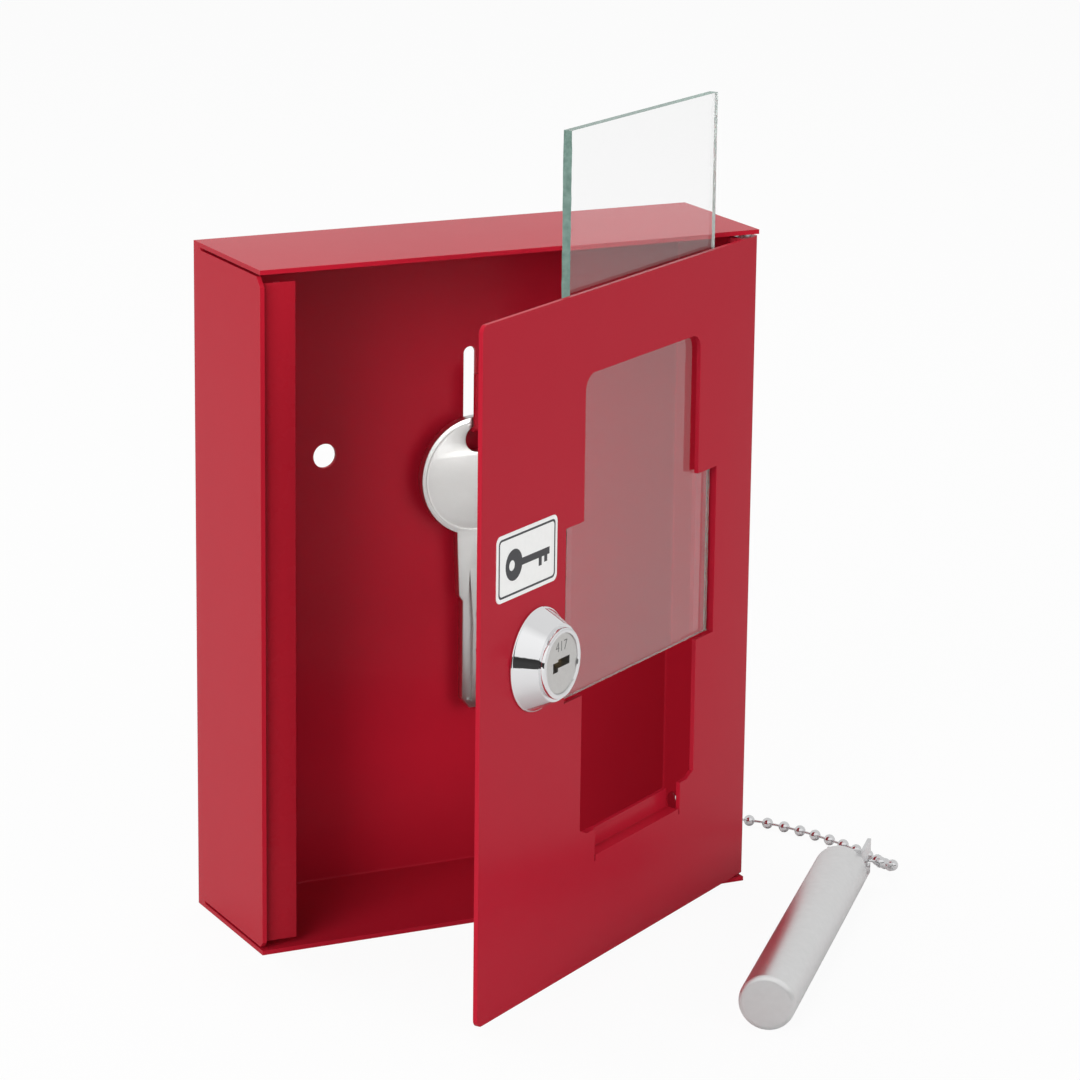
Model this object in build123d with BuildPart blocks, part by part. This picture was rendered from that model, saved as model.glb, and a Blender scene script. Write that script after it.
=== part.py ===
# Break glass key box: sheet-steel wall case for an emergency key.
# Drawn as seen: door ajar, the loose pane lifted, the striker lying in front.
# Millimetres. X right, Y to the wall, Z up. Origin: centre of the case's underside.
from math import radians, cos, sin, tan, acos, sqrt
import os

from build123d import *

os.makedirs("parts", exist_ok=True)

# ---- driving dimensions ----
case_w, case_h, case_d = 118.0, 150.0, 38.0
sheet = 1.0              # case and door sheet
bend_r = 1.5             # outside radius of the case's folds
seam = 0.6               # open seam between walls and end panels
side_setback = 6.6       # right wall stands back to clear the hinge
hole_spacing = 56.5      # wall holes
hole_r = 2.75
hole_z = 99.3

strip_z0, strip_z1 = 2.4, case_h - 3.1   # latch strip
strip_recess = 1.6
strip_face = 7.7         # width of its front flange
strip_wall = 12.4        # depth of its wall flange

door_w = 116.0
door_z0, door_z1 = 1.4, case_h - 1.7
door_bend = 1.2
door_open = 33.0         # as drawn, degrees
hinge_in = 3.0           # hinge axis in from the side and from the front

pane_w, pane_h, pane_t = 62.0, 119.5, 2.0
pane_u = 18.4            # pane edge from the door's hinge side
pane_lift = 37.5         # the drawn pane stands this much above its seat
pane_seat_z = 25.1
ledge_z = pane_seat_z - 1.05             # underside of the ledge that the pane stands on
guide_w = 3.2            # guides' return flanges start this far behind the face
fit = 0.05               # running clearance

nut_flat = 8.5           # half the lock nut's width across flats
guide_l = pane_u - 1.1                   # guides' inner sides, from the door's hinge edge
guide_r = pane_u + pane_w + 1.9
lock_gap = 0.585         # nut's corner to the guide beside it
lock_u = guide_r + sheet + nut_flat / cos(radians(30)) + lock_gap
lock_z = 74.8
win_l, win_r = guide_l + 8.4, guide_r - 7.3      # window's upright edges
win_z0, win_z1, win_round = 31.0, 130.8, 3.5
guide_z0, guide_z1 = 62.2, 99.8          # guides' cut-outs beside the window
foot_l, foot_r = guide_l + 13.7, guide_r - 14.3  # ledge's cut beneath the window
barrel_r = 7.0
plug_head_r, plug_r = 6.3, 5.25

key_x, key_t = 6.9, 2.2
hook_z = 102.6           # underside of the hook's arm
hook_w = 2.8

rod_r = 6.0
rod_a = (18.0, -102.3)   # striker's near end, in plan
rod_b = (74.0, -36.7)    # striker's far end
bead_r = 1.3
eye_y, eye_z = 6.0, 12.0  # where the chain leaves the right wall
slot_along, slot_z = 6.4, 6.6      # chain's slot in the striker's clip

half_w, half_d = case_w / 2, case_d / 2
yf, yb = -half_d, half_d             # front and back planes
hinge_x, hinge_y = half_w - hinge_in, yf + hinge_in
a = radians(door_open)
ca, sa = cos(a), sin(a)
corner = (hinge_x + hinge_in * (ca + sa), hinge_y + hinge_in * (sa - ca))


def dpt(u, w, z):
    """Point of the door: u from its hinge edge, w behind its face."""
    return (corner[0] - u * ca - w * sa, corner[1] - u * sa + w * ca, z)


def dface(w=0.0):
    """Door's front plane (local x is -u, y is z); +z comes out to the front."""
    return Plane(origin=dpt(0, w, 0), x_dir=(ca, sa, 0), z_dir=(sa, -ca, 0))


def dplan(z):
    """Door's plan plane at height z (local x is -u, y is w)."""
    return Plane(origin=dpt(0, 0, z), x_dir=(ca, sa, 0), z_dir=(0, 0, 1))


def near(sketch, x, y):
    """The sketch's corner nearest to a point of its own plane."""
    return sketch.vertices().sort_by_distance((x, y, 0))[0:1]


def save(builder, name, colour):
    builder.part.label = name
    builder.part.color = colour
    export_step(builder.part, f"parts/{name}.step")


red = Color(0.66, 0.16, 0.2)
steel = Color(0.75, 0.76, 0.78)

# ================= case =================
pocket_r = 1.25 + fit    # hinge pins' bores
with BuildPart() as case_shell:
    with Locations((0, 0, case_h / 2)):
        Box(case_w, case_d, case_h)
    back = case_shell.faces().sort_by(Axis.Y)[-1]
    fillet(back.edges(), bend_r)
    with BuildPart(mode=Mode.SUBTRACT) as inner:
        with Locations((0, -sheet / 2, case_h / 2)):
            Box(case_w - 2 * sheet, case_d - sheet, case_h - 2 * sheet)
        fillet(inner.faces().sort_by(Axis.Y)[-1].edges(), bend_r - sheet)
    # right wall stands back from the front
    with BuildSketch(Plane.XY.offset(sheet)):
        with Locations((half_w - sheet / 2, yf + side_setback / 2)):
            Rectangle(sheet * 1.02, side_setback)
    extrude(amount=case_h - 2 * sheet, mode=Mode.SUBTRACT)
    # open seams along the side walls, wider at the left wall's cut corner
    for z0 in (sheet, case_h - sheet - seam):
        with BuildSketch(Plane.XY.offset(z0)):
            with Locations((-half_w + sheet / 2, -2.5), (half_w - sheet / 2, -2.5)):
                Rectangle(sheet * 1.02, case_d - 5)
        extrude(amount=seam, mode=Mode.SUBTRACT)
    with BuildSketch(Plane.YZ.offset(-half_w - 0.5)):
        with BuildLine():
            Polyline((yf, case_h - sheet - seam - 2.0), (yf, case_h - sheet),
                     (yf + 2.4, case_h - sheet), (yf + 2.0, case_h - sheet - seam), close=True)
        make_face()
        with BuildLine():
            Polyline((yf, sheet + seam + 1.2), (yf, sheet), (yf + 1.6, sheet),
                     (yf + 1.2, sheet + seam), close=True)
        make_face()
    extrude(amount=sheet + 0.5, mode=Mode.SUBTRACT)
    # two wall holes and the hook's slot
    with BuildSketch(Plane.XZ.offset(-yb)):
        with Locations((-hole_spacing / 2, hole_z), (hole_spacing / 2, hole_z)):
            Circle(hole_r)
        with Locations((key_x, 111.5)):
            Rectangle(hook_w + 0.2, 16.0)
        with Locations((key_x, 119.5)):
            Circle(hook_w / 2 + 0.1)
    extrude(amount=sheet, mode=Mode.SUBTRACT)
    # hook: arm out of the foot of the slot, tip turned up
    with BuildSketch(Plane.YZ.offset(key_x - hook_w / 2)) as hook_profile:
        with BuildLine():
            Polyline((yb - 0.5, hook_z), (yb - 7, hook_z), (yb - 7, hook_z + 13.4),
                     (yb - 6, hook_z + 13.4), (yb - 6, hook_z + 1), (yb - 0.5, hook_z + 1),
                     close=True)
        make_face()
        fillet(near(hook_profile, yb - 7, hook_z), 1.2)
    extrude(amount=hook_w)
    # blind bores for the hinge pins, and the eyelet's hole
    with Locations((hinge_x, hinge_y, case_h - sheet + 0.25), (hinge_x, hinge_y, sheet - 0.25)):
        Cylinder(pocket_r, 0.5, mode=Mode.SUBTRACT)
    with Locations(Location((half_w - sheet / 2, eye_y, eye_z), (0, 90, 0))):
        Cylinder(2.5, sheet * 1.02, mode=Mode.SUBTRACT)
save(case_shell, "case_shell", red)

with BuildPart() as latch_strip:
    with BuildSketch(Plane.XY.offset(strip_z0)) as strip_plan:
        x0, y0 = -half_w + sheet, yf + strip_recess
        with BuildLine():
            Polyline((x0, y0), (x0 + strip_face, y0), (x0 + strip_face, y0 + sheet),
                     (x0 + sheet, y0 + sheet), (x0 + sheet, y0 + strip_wall),
                     (x0, y0 + strip_wall), close=True)
        make_face()
        fillet(near(strip_plan, x0, y0), 1.2)
    extrude(amount=strip_z1 - strip_z0)
save(latch_strip, "latch_strip", Color(0.58, 0.12, 0.17))

# ================= door =================
door_h = door_z1 - door_z0
with BuildPart() as door_panel:
    with BuildSketch(dplan(door_z0)):
        with BuildLine():
            Polyline((-door_bend, 0), (-door_w, 0), (-door_w, sheet), (-sheet, sheet),
                     (-sheet, 4.0), (0, 4.0), (0, door_bend))
            RadiusArc((0, door_bend), (-door_bend, 0), door_bend)
        make_face()
    extrude(amount=door_h)
    # rounded free corners
    with BuildSketch(dface(-0.5)):
        for z0, up in ((door_z0, 1), (door_z1, -1)):
            with BuildLine():
                Polyline((-door_w + 1.8, z0), (-door_w - 0.5, z0), (-door_w - 0.5, z0 + up * 1.8),
                         (-door_w, z0 + up * 1.8))
                RadiusArc((-door_w, z0 + up * 1.8), (-door_w + 1.8, z0), up * -1.8)
            make_face()
    extrude(amount=-2.5, mode=Mode.SUBTRACT)
    # window
    with BuildSketch(dface(-0.5)) as window:
        with BuildLine():
            Polyline((-foot_l, ledge_z - 0.3), (-foot_l - 0.4, ledge_z - 0.3),
                     (-foot_l - 0.4, ledge_z + 1), (-foot_r, ledge_z + 1),
                     (-foot_r, ledge_z - 0.3), (-foot_r - 0.4, ledge_z - 0.3),
                     (-foot_r - 0.4, win_z0), (-win_r + 3.1, win_z0), (-win_r + 0.1, win_z0 + 1.3),
                     (-win_r + 0.1, guide_z0), (-guide_r, guide_z0), (-guide_r, guide_z1),
                     (-win_r, guide_z1), (-win_r, win_z1 - win_round))
            RadiusArc((-win_r, win_z1 - win_round), (-win_r + win_round, win_z1), win_round)
            Line((-win_r + win_round, win_z1), (-win_l - win_round, win_z1))
            RadiusArc((-win_l - win_round, win_z1), (-win_l, win_z1 - win_round), win_round)
            Polyline((-win_l, win_z1 - win_round), (-win_l, guide_z1), (-guide_l, guide_z1),
                     (-guide_l, guide_z0), (-win_l + 0.6, guide_z0),
                     (-win_l + 0.6, win_z0 + 1.3), (-win_l - 2.4, win_z0), (-foot_l, win_z0),
                     (-foot_l, ledge_z - 0.3))
        make_face()
    extrude(amount=-2.5, mode=Mode.SUBTRACT)
    # two guides bent back out of the window, hooked over the pane's edges
    with BuildSketch(dplan(guide_z0 + 0.1)):
        with BuildLine():
            Polyline((-guide_l + sheet, 0.5), (-guide_l + sheet, guide_w + 1),
                     (-guide_l - 5.7, guide_w + 1), (-guide_l - 5.7, guide_w),
                     (-guide_l, guide_w), (-guide_l, 0.5), close=True)
        make_face()
        with BuildLine():
            Polyline((-guide_r - sheet, 0.5), (-guide_r - sheet, guide_w + 1),
                     (-guide_r + 5.8, guide_w + 1), (-guide_r + 5.8, guide_w),
                     (-guide_r, guide_w), (-guide_r, 0.5), close=True)
        make_face()
    extrude(amount=guide_z1 - guide_z0 - 0.4)
    # ledge bent back at the foot of the window, with its upturned lip
    with BuildSketch(dplan(ledge_z)):
        with Locations((-(foot_l + foot_r + 0.4) / 2, (0.5 + guide_w + 1) / 2)):
            Rectangle(foot_r - foot_l - 0.4, guide_w + 0.5)
    extrude(amount=1.0)
    with BuildSketch(dplan(ledge_z)):
        with Locations((-(foot_l + foot_r + 0.4) / 2, guide_w + 0.5)):
            Rectangle(foot_r - foot_l - 0.4, 1.0)
    extrude(amount=5.15)
    # hinge ears, folded from the top and the foot
    for z0 in (door_z0, door_z1 - sheet):
        with BuildSketch(dplan(z0)):
            with BuildLine():
                Polyline((-0.5, 0.5), (-6.0, 0.5), (-6.0, 4.0), (-0.5, 4.0), close=True)
            make_face()
            with Locations((-hinge_in, hinge_in)):
                Circle(2.8)
                Circle(pocket_r, mode=Mode.SUBTRACT)
        extrude(amount=sheet)
        with BuildSketch(dplan(z0)):
            with Locations((-hinge_in, hinge_in)):
                Circle(pocket_r)
        extrude(amount=sheet, mode=Mode.SUBTRACT)
    # lock's hole
    with BuildSketch(dface(-0.5)):
        with Locations((-lock_u, lock_z)):
            Circle(barrel_r + fit)
    extrude(amount=-2.5, mode=Mode.SUBTRACT)
save(door_panel, "door_panel", red)

# hinge pins: stub, collar, stub
ceiling = case_h - sheet
for name, spans in (("hinge_pin_top", ((door_z1 - 1.4, door_z1 + 0.02, 1.25),
                                       (door_z1 + 0.02, ceiling - fit, 2.3),
                                       (ceiling - fit, ceiling + 0.45, 1.25))),
                    ("hinge_pin_bottom", ((sheet - 0.45, sheet + 0.02, 1.25),
                                          (sheet + 0.02, door_z0 - 0.02, 2.3),
                                          (door_z0 - 0.02, door_z0 + 1.4, 1.25)))):
    with BuildPart() as pin:
        for z0, z1, r in spans:
            with Locations((hinge_x, hinge_y, (z0 + z1) / 2)):
                Cylinder(r, z1 - z0)
    save(pin, name, steel)

with BuildPart() as glass_pane:
    with BuildSketch(dplan(pane_seat_z + pane_lift)):
        with Locations((-pane_u - pane_w / 2, sheet + 0.1 + pane_t / 2)):
            Rectangle(pane_w, pane_t)
    extrude(amount=pane_h)
    chamfer(glass_pane.edges().group_by(Axis.Z)[-1], 0.25)
save(glass_pane, "glass_pane", Color(0.7, 0.85, 0.8, 0.4))

# ================= lock =================


def lock_ring(w0, w1, r1, r0=0.0):
    """Ring of radius r1 (bore r0) round the lock's axis, from depth w0 to w1."""
    with BuildSketch(dface(w1)) as ring:
        with Locations((-lock_u, lock_z)):
            Circle(r1)
            if r0:
                Circle(r0, mode=Mode.SUBTRACT)
    extrude(ring.sketch, amount=w1 - w0)


axis_plane = Plane(origin=dpt(lock_u, 0, lock_z), x_dir=(ca, sa, 0), z_dir=(0, 0, 1))
lock_axis = Axis(origin=dpt(lock_u, 0, lock_z), direction=(-sa, ca, 0))

with BuildPart() as lock_rosette:
    with BuildSketch(axis_plane):
        with BuildLine():
            Polyline((barrel_r + fit, 0), (11.0, 0), (11.0, -0.6), (8.1, -5.2),
                     (barrel_r + fit, -5.2), close=True)
        make_face()
    revolve(axis=lock_axis)
save(lock_rosette, "lock_rosette", steel)

with BuildPart() as lock_housing:
    with BuildSketch(axis_plane):
        with BuildLine():
            Polyline((plug_head_r + fit, -6.0), (plug_head_r + 0.35, -6.2), (7.2, -6.2),
                     (7.5, -5.9), (7.5, -5.2), (barrel_r, -5.2), (barrel_r, 8.0),
                     (plug_r + fit, 8.0), (plug_r + fit, -4.4), (plug_head_r + fit, -4.4),
                     close=True)
        make_face()
    revolve(axis=lock_axis)
save(lock_housing, "lock_housing", steel)

with BuildPart() as lock_washer:
    lock_ring(1.0, 1.8, 9.0, barrel_r + fit)
save(lock_washer, "lock_washer", steel)

with BuildPart() as lock_nut:
    with BuildSketch(dface(4.8)):
        with Locations((-lock_u, lock_z)):
            RegularPolygon(nut_flat, 6, major_radius=False)
            Circle(barrel_r + fit, mode=Mode.SUBTRACT)
    extrude(amount=3.0)
save(lock_nut, "lock_nut", steel)

wafer_w = [-2.6, -0.4, 1.8, 4.0, 6.2]    # wafers' middles, in depth
with BuildPart() as lock_plug:
    lock_ring(-5.85, -4.4 - fit, plug_head_r)
    lock_ring(-4.4 - fit, 8.1, plug_r)
    with BuildSketch(dface(9.9)):
        with Locations((-lock_u, lock_z)):
            Rectangle(6.0, 6.0)
    extrude(amount=1.8)
    # stepped keyway and the wafers' slots
    with BuildSketch(dface(-6.0)):
        with Locations((-lock_u, lock_z)):
            Rectangle(6.6, 1.2)
        with Locations((-lock_u + 1.0, lock_z + 0.2)):
            Rectangle(4.6, 1.8)
        with Locations((-lock_u - 2.3, lock_z - 0.6)):
            Rectangle(2.0, 1.8)
    extrude(amount=-13.0, mode=Mode.SUBTRACT)
    for w in wafer_w:
        with BuildSketch(dface(w + 0.45)):
            with Locations((-lock_u, lock_z)):
                Rectangle(9.0, 4.0)
            with Locations((-lock_u + 2.6, lock_z + 2.6)):
                Rectangle(3.4, 1.3)
        extrude(amount=0.9, mode=Mode.SUBTRACT)
    # screw's bore
    with BuildSketch(dface(9.9)):
        with Locations((-lock_u, lock_z)):
            Circle(1.45)
    extrude(amount=2.9, mode=Mode.SUBTRACT)
save(lock_plug, "lock_plug", steel)

with BuildPart() as lock_wafers:
    for i, w in enumerate(wafer_w):
        with BuildSketch(dface(w + 0.4)):
            with Locations((-lock_u, lock_z)):
                Rectangle(8.9, 3.9)
            with Locations((-lock_u + 3.9, lock_z + 2.4)):
                Rectangle(0.7, 1.1)
            with Locations((-lock_u + 0.3 * (i - 2), lock_z)):
                Rectangle(5.6, 2.2, mode=Mode.SUBTRACT)
        extrude(amount=0.8)
save(lock_wafers, "lock_wafers", Color(0.8, 0.65, 0.35))

with BuildPart() as wafer_springs:
    for w in wafer_w:
        spring_axis = Plane(origin=dpt(lock_u - 3.5, w, lock_z + 2.6), x_dir=(0, 0, 1),
                            z_dir=(-ca, -sa, 0))
        with BuildSketch(spring_axis):
            Circle(0.42)
            Circle(0.24, mode=Mode.SUBTRACT)
        extrude(amount=2.55)
save(wafer_springs, "wafer_springs", steel)

with BuildPart() as cam_lever:
    # side profile: hub, crank forward, tip, all 8 wide
    with BuildSketch(Plane(origin=dpt(lock_u + 4.0, 0, lock_z), x_dir=(0, 0, -1),
                           z_dir=(ca, sa, 0))):
        with BuildLine():
            Polyline((-4.0, 8.2), (10.6, 8.2), (10.6, 3.1), (20.3, 3.1), (20.3, 4.6),
                     (12.1, 4.6), (12.1, 9.7), (-4.0, 9.7), close=True)
        make_face()
    extrude(amount=8.0)
    lock_ring(8.2, 9.7, 6.0)
    with BuildSketch(dface(9.8)):
        with Locations((-lock_u, lock_z)):
            Rectangle(6.0 + 2 * fit, 6.0 + 2 * fit)
    extrude(amount=1.8, mode=Mode.SUBTRACT)
save(cam_lever, "cam_lever", steel)

with BuildPart() as cam_washer:
    lock_ring(9.9, 10.5, 4.6, 1.6)
save(cam_washer, "cam_washer", steel)

with BuildPart() as cam_screw:
    lock_ring(10.5, 12.4, 2.75)
    lock_ring(7.2, 10.5, 1.4)
    with BuildSketch(dface(12.4)):
        with Locations((-lock_u, lock_z)):
            Rectangle(4.2, 0.8)
            Rectangle(0.8, 4.2)
    extrude(amount=1.1, mode=Mode.SUBTRACT)
save(cam_screw, "cam_screw", steel)

with BuildPart() as door_label:
    with BuildSketch(dface(0)):
        with Locations((-98.2, 97.0)):
            RectangleRounded(24.0, 14.0, 1.5)
    extrude(amount=0.12)
save(door_label, "door_label", Color(0.95, 0.95, 0.95))

# ================= key on its hook =================
key_hole_r = 3.0
bow_r, bow_z = 13.6, 92.4
hole_c = hook_z + 1.0 - sqrt(key_hole_r ** 2 - (hook_w / 2) ** 2) - 0.03
with BuildPart() as emergency_key:
    with BuildSketch(Plane.XZ.offset(-(yb - 3.4))) as key_outline:
        with Locations((key_x, bow_z)):
            Circle(bow_r)
        with BuildLine():
            Polyline((key_x - 4.9, bow_z - 8), (key_x - 4.9, 78.6), (key_x - 4.35, 65.1),
                     (key_x - 3.85, 64.2), (key_x - 3.45, 63.8), (key_x - 3.45, 40.9),
                     (key_x - 1.5, 38.5), (key_x + 1.5, 38.5), (key_x + 3.45, 40.9),
                     (key_x + 3.45, 63.8), (key_x + 3.85, 64.2), (key_x + 4.35, 65.1),
                     (key_x + 4.9, 78.6), (key_x + 4.9, bow_z - 8), close=True)
        make_face()
        with Locations((key_x, hole_c)):
            Circle(key_hole_r, mode=Mode.SUBTRACT)
    extrude(amount=key_t)
    # groove and dimples of the blade, on the front
    with BuildSketch(Plane.XZ.offset(-(yb - 3.4 - key_t))):
        with Locations((key_x - 1.7, 54.5)):
            Rectangle(1.0, 28.0)
    extrude(amount=-0.5, mode=Mode.SUBTRACT)
    for i, z in enumerate((43.0, 46.4, 50.6, 54.0, 58.2, 62.0)):
        with Locations(Location((key_x + 1.1 + 0.4 * (i % 2), yb - 3.4 - key_t, z), (90, 0, 0))):
            Cylinder(1.0, 0.9, mode=Mode.SUBTRACT)
save(emergency_key, "emergency_key", Color(0.7, 0.68, 0.62))

# ================= striker and its chain =================
rod_len = sqrt((rod_b[0] - rod_a[0]) ** 2 + (rod_b[1] - rod_a[1]) ** 2)
ax = ((rod_b[0] - rod_a[0]) / rod_len, (rod_b[1] - rod_a[1]) / rod_len)
side = (ax[1], -ax[0])               # to the rod's right


def rpt(along, perp, z):
    """Point of the striker: along from its far end, perp to its right."""
    return (rod_b[0] + along * ax[0] + perp * side[0],
            rod_b[1] + along * ax[1] + perp * side[1], z)


with BuildPart() as striker:
    with BuildSketch(Plane(origin=rpt(-rod_len, 0, rod_r), x_dir=(side[0], side[1], 0),
                           z_dir=(ax[0], ax[1], 0))):
        Circle(rod_r)
    extrude(amount=rod_len)
    chamfer(striker.edges().filter_by(GeomType.CIRCLE), 0.8)
    with BuildSketch(Plane(origin=rpt(0, 0, rod_r), x_dir=(side[0], side[1], 0),
                           z_dir=(ax[0], ax[1], 0))):
        Circle(1.6)
    extrude(amount=-6.0, mode=Mode.SUBTRACT)
save(striker, "striker", Color(0.82, 0.82, 0.83))

clip_t = 0.8
with BuildPart() as striker_clip:
    with BuildSketch(Plane(origin=rpt(0, 0, rod_r - 3.0), x_dir=(ax[0], ax[1], 0),
                           z_dir=(0, 0, 1))) as clip_plan:
        with BuildLine():          # local x along the rod, local y to its left
            Polyline((0, 3.2), (0, -5.2), (9.0, -5.2), (9.0, -5.2 + clip_t),
                     (clip_t, -5.2 + clip_t), (clip_t, 3.2), close=True)
        make_face()
        fillet(near(clip_plan, 0, -5.2), 0.9)
    extrude(amount=8.0)
    with BuildSketch(Plane(origin=rpt(2, 0, rod_r), x_dir=(side[0], side[1], 0),
                           z_dir=(ax[0], ax[1], 0))):
        Circle(1.6)
    extrude(amount=-3.0, mode=Mode.SUBTRACT)
    # the chain's slot, open at the arm's end
    with BuildSketch(Plane(origin=rpt(slot_along, 6.5, slot_z), x_dir=(ax[0], ax[1], 0),
                           z_dir=(side[0], side[1], 0))):
        Circle(bead_r + fit)
        with Locations((1.8, 0)):
            Rectangle(3.6, 2 * (bead_r + fit))
    extrude(amount=-3.0, mode=Mode.SUBTRACT)
save(striker_clip, "striker_clip", steel)

with BuildPart() as striker_rivet:
    with BuildSketch(Plane(origin=rpt(clip_t, 0, rod_r), x_dir=(side[0], side[1], 0),
                           z_dir=(ax[0], ax[1], 0))):
        Circle(1.55)
    extrude(amount=-5.0)
    with BuildSketch(Plane(origin=rpt(clip_t, 0, rod_r), x_dir=(side[0], side[1], 0),
                           z_dir=(ax[0], ax[1], 0))):
        Circle(2.6)
    extrude(amount=1.0)
    fillet(striker_rivet.faces().sort_by(Axis(rpt(0, 0, rod_r), (ax[0], ax[1], 0)))[-1].edges(),
           0.6)
save(striker_rivet, "striker_rivet", steel)

eye = (half_w, eye_y, eye_z)
eye_axis = Plane(origin=eye, x_dir=(0, 1, 0), z_dir=(1, 0, 0))
with BuildPart() as chain_eyelet:
    with BuildSketch(Plane(origin=eye, x_dir=(1, 0, 0), z_dir=(0, 0, 1))) as eyelet_profile:
        with BuildLine():
            Polyline((0, 2.5), (0, 3.7), (0.5, 3.5), (0.7, 2.8), (0.5, 1.8), (-1.5, 1.8),
                     (-1.7, 2.8), (-1.5, 3.5), (-1.0, 3.7), (-1.0, 2.5), close=True)
        make_face()
    revolve(axis=Axis(eye, (1, 0, 0)))
save(chain_eyelet, "chain_eyelet", steel)

with BuildPart() as chain_end_stop:
    with BuildSketch(eye_axis.offset(-5.4)):
        Circle(2.3)
    extrude(amount=3.6)
    fillet(chain_end_stop.edges(), 0.5)
save(chain_end_stop, "chain_end_stop", steel)

with BuildPart() as chain_coupling:
    with Locations(rpt(slot_along, 2.0, slot_z)):
        Sphere(1.7)
    with BuildSketch(Plane(origin=rpt(slot_along, 3.4, slot_z), x_dir=(ax[0], ax[1], 0),
                           z_dir=(side[0], side[1], 0))):
        Circle(3.0)
    extrude(amount=1.0, mode=Mode.SUBTRACT)
save(chain_coupling, "chain_coupling", steel)

route = [(eye[0] - 1.8, eye_y, eye_z), (61.4, eye_y, eye_z), (65.6, 7.6, 10.6),
         (69.4, 10.4, 7.2), (73.0, 13.6, 3.6), (77.0, 15.0, 1.6), (80.6, 13.0, 1.3),
         (83.2, 9.0, 1.3), (85.6, 4.4, 1.3), (87.9, -1.2, 1.3), (89.8, -7.4, 1.3),
         (91.2, -13.6, 1.35), (91.9, -20.0, 1.4), (91.4, -25.8, 1.9), (90.2, -30.8, 2.9),
         (88.8, -34.8, 4.3), (86.8, -37.6, 5.8), rpt(slot_along, 7.4, slot_z),
         rpt(slot_along, 3.4, slot_z)]


def turn_radius(i):
    """Arc radius at route point i: under half of the shorter run beside it."""
    p, q, r = (Vector(*route[j]) for j in (i - 1, i, i + 1))
    half = acos(max(-1, min(1, (q - p).normalized().dot((r - q).normalized())))) / 2
    return 0.45 * min((q - p).length, (r - q).length) / tan(half)


radii = [turn_radius(i) for i in range(1, len(route) - 1)]
print("chain radii", [round(r, 1) for r in radii])
print("chain runs", [round((Vector(*route[i + 1]) - Vector(*route[i])).length, 1)
                     for i in range(len(route) - 1)])
with BuildPart() as ball_chain:
    with BuildLine() as chain_path:
        FilletPolyline(*route, radius=radii)
    with BuildSketch(Plane(origin=chain_path.line @ 0, z_dir=chain_path.line % 0)):
        Circle(bead_r)
    sweep()
save(ball_chain, "ball_chain", steel)
chain_len = chain_path.wires()[0].length
print("chain length", round(chain_len, 1), "volume/section", round(
    ball_chain.part.volume / (3.14159 * bead_r ** 2), 1), "rod length", round(rod_len, 2))
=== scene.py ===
# Break glass key box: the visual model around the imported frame. Metres, as the frame is:
# X right, Y to the wall, Z up, the origin in the middle of the case's underside.
import random
from math import atan2, cos, pi, radians, sin

import bmesh
import bpy
from mathutils import Matrix, Vector


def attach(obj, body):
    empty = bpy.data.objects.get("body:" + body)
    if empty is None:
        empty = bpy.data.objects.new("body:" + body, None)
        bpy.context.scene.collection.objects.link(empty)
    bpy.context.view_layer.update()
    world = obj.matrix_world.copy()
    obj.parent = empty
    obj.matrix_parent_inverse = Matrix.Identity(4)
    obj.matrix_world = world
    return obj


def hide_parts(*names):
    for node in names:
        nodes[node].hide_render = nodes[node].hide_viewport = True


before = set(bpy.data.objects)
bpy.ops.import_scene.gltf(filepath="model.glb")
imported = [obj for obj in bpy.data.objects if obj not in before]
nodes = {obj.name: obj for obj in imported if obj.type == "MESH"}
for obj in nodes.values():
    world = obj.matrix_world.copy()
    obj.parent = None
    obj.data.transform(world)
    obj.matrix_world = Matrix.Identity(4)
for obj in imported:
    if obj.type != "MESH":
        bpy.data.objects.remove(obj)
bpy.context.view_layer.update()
mm = 0.001

# ---- camera ----
# A long lens from the case's left, a little above it, as the photograph was taken.
# The small shift sets the object off centre. The roll is the photograph's slight tilt.
camera = bpy.data.objects.new("camera", bpy.data.cameras.new("camera"))
bpy.context.scene.collection.objects.link(camera)
bpy.context.scene.camera = camera
camera_azimuth, camera_drop, camera_roll = 25.706, 13.975, 0.511
camera.matrix_world = (Matrix.Translation((-0.3907, -0.8135, 0.3207))
                       @ Matrix.Rotation(radians(-camera_azimuth), 4, "Z")
                       @ Matrix.Rotation(radians(90 - camera_drop), 4, "X")
                       @ Matrix.Rotation(radians(camera_roll), 4, "Z"))
camera.data.sensor_width = 36
camera.data.lens = 141.3
camera.data.shift_x, camera.data.shift_y = 0.0559, -0.0594
camera.data.clip_start, camera.data.clip_end = 0.01, 20
bpy.context.scene.view_settings.view_transform = "Standard"


def material(name):
    """A new material, its shader and a way to add nodes: add(type, **socket values)."""
    made = bpy.data.materials.new(name)
    made.use_nodes = True
    tree = made.node_tree
    shader = tree.nodes["Principled BSDF"]

    def add(kind, links=(), **values):
        node = tree.nodes.new(kind)
        for key, value in values.items():
            socket = node.inputs.get(key.replace("_", " "))
            if socket is None:
                setattr(node, key, value)
            else:
                socket.default_value = value
        for source, target in links:
            tree.links.new(source, node.inputs[target])
        return node

    return made, shader, add, tree.links.new


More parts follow.
